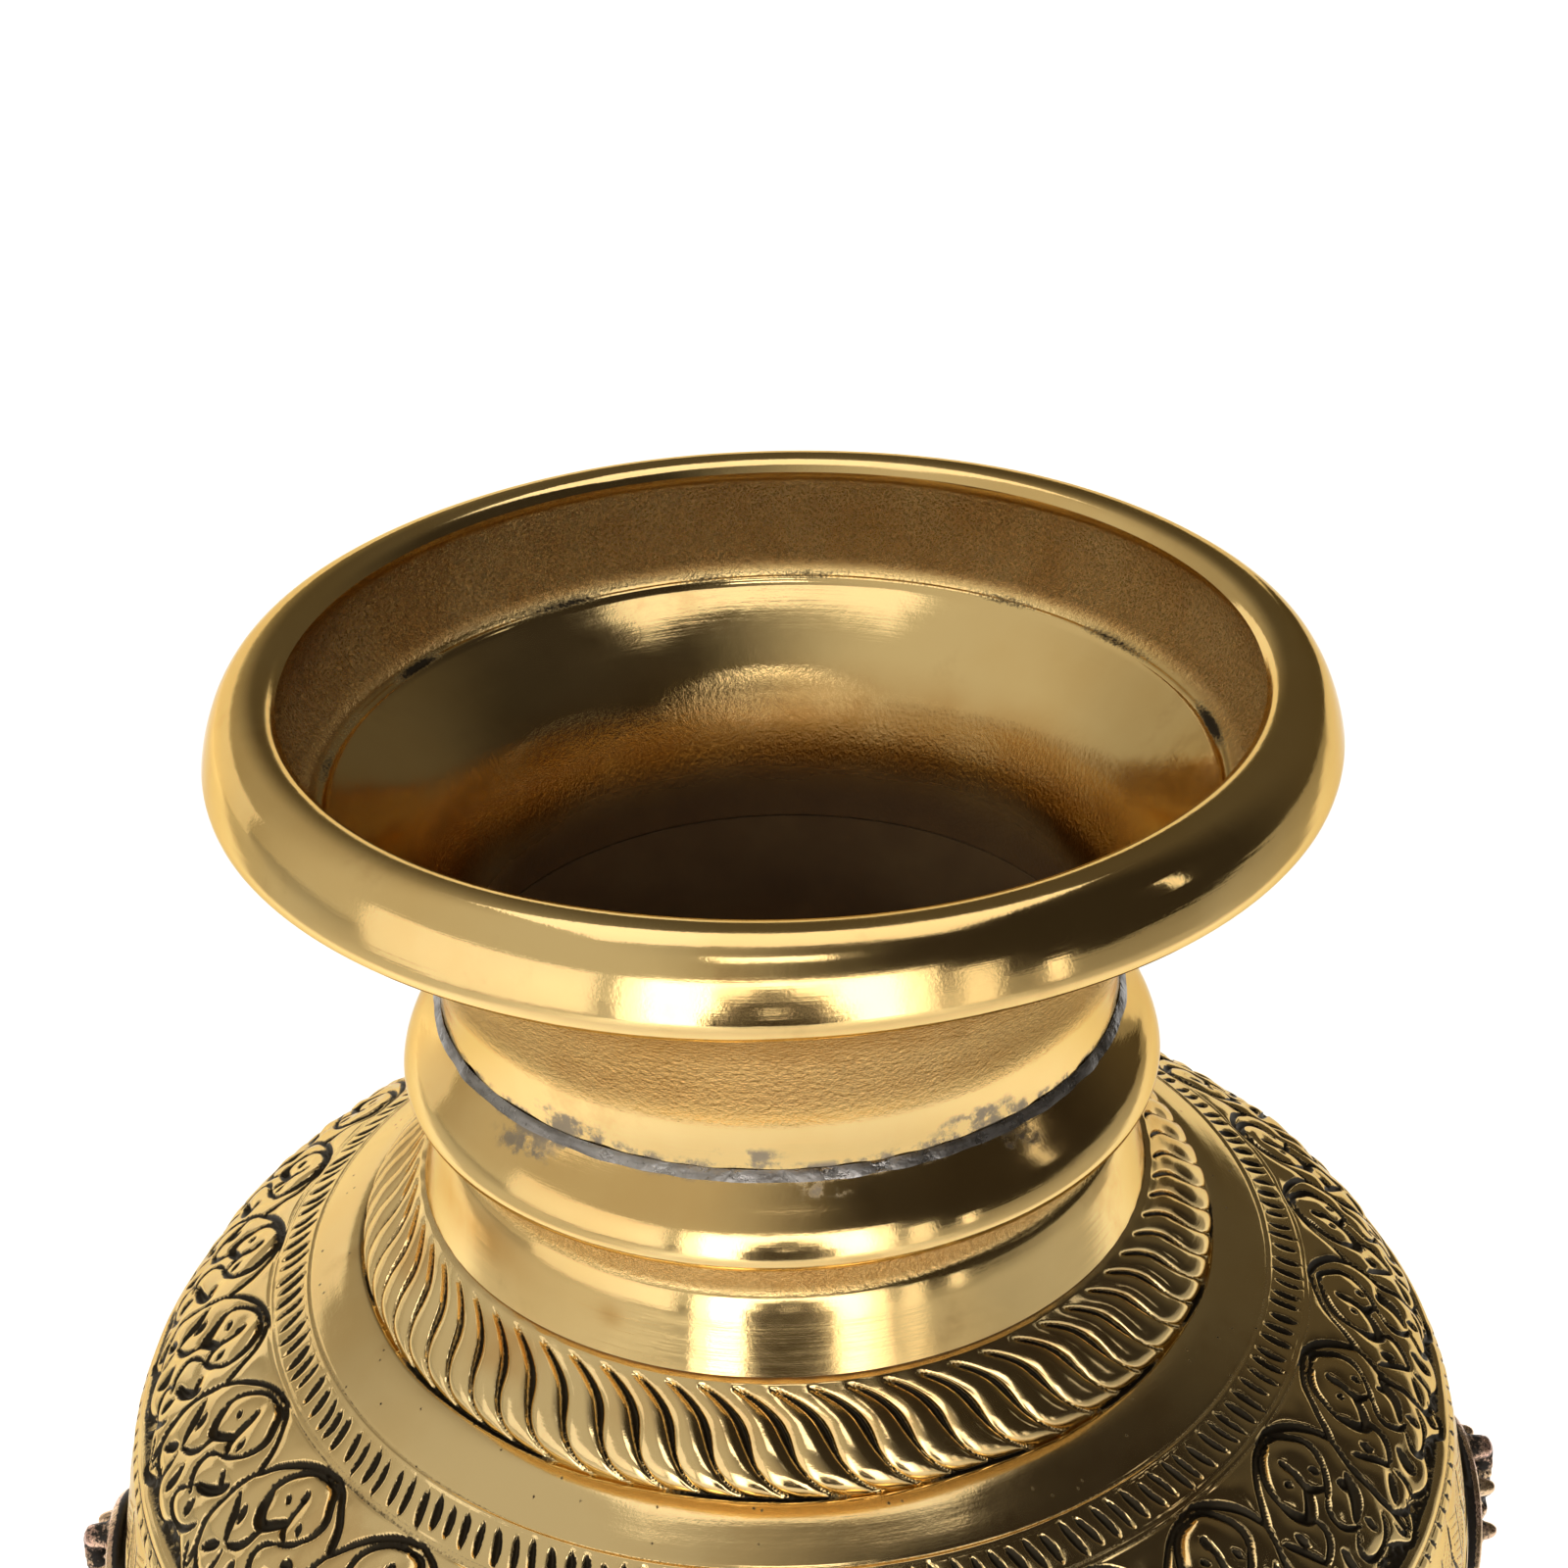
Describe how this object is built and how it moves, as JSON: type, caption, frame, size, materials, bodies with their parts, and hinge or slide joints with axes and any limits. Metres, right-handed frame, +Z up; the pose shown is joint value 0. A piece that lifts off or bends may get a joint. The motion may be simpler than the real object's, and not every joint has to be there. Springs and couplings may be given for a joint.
{
  "type": "kalash pot",
  "caption": "Round brass water pot with a wide rolled mouth, a ringed collar, a chased shoulder, cast figure plaques round the belly and a flared foot ring.",
  "frame": {"origin": "centre of the flat underside of the foot ring", "axes": "+Z up the pot's turning axis; -Y towards the picture's viewpoint; plaque_1 stands 2.75 degrees round from +X and the rest follow every 45 degrees"},
  "size_m": [0.2038, 0.2038, 0.2417],
  "materials": {
    "polished_brass": "hand-polished yellow brass, with cast grain inside the mouth",
    "chased_brass": "polished brass, chased by hand, with black oxide in the recesses",
    "soft_solder": "dull grey soft solder, wiped",
    "brazing_metal": "filed and polished braze",
    "antiqued_cast_brass": "sand-cast brass, blackened, with rubbed high places",
    "rivet_brass": "hammered brass"
  },
  "bodies": {
    "root": {"mouth_rim": "polished_brass", "neck_solder_seam": "soft_solder", "neck_collar": "polished_brass", "shoulder_shell": "chased_brass", "belly_braze_seam": "brazing_metal", "lower_bowl": "polished_brass", "foot_solder_seam": "soft_solder", "foot_ring": "polished_brass", "plaque_1": "antiqued_cast_brass", "plaque_2": "antiqued_cast_brass", "plaque_3": "antiqued_cast_brass", "plaque_4": "antiqued_cast_brass", "plaque_5": "antiqued_cast_brass", "plaque_6": "antiqued_cast_brass", "plaque_7": "antiqued_cast_brass", "plaque_8": "antiqued_cast_brass", "rivet_1_left": "rivet_brass", "rivet_1_right": "rivet_brass", "rivet_2_left": "rivet_brass", "rivet_2_right": "rivet_brass", "rivet_3_left": "rivet_brass", "rivet_3_right": "rivet_brass", "rivet_4_left": "rivet_brass", "rivet_4_right": "rivet_brass", "rivet_5_left": "rivet_brass", "rivet_5_right": "rivet_brass", "rivet_6_left": "rivet_brass", "rivet_6_right": "rivet_brass", "rivet_7_left": "rivet_brass", "rivet_7_right": "rivet_brass", "rivet_8_left": "rivet_brass", "rivet_8_right": "rivet_brass"}
  },
  "joints": []
}
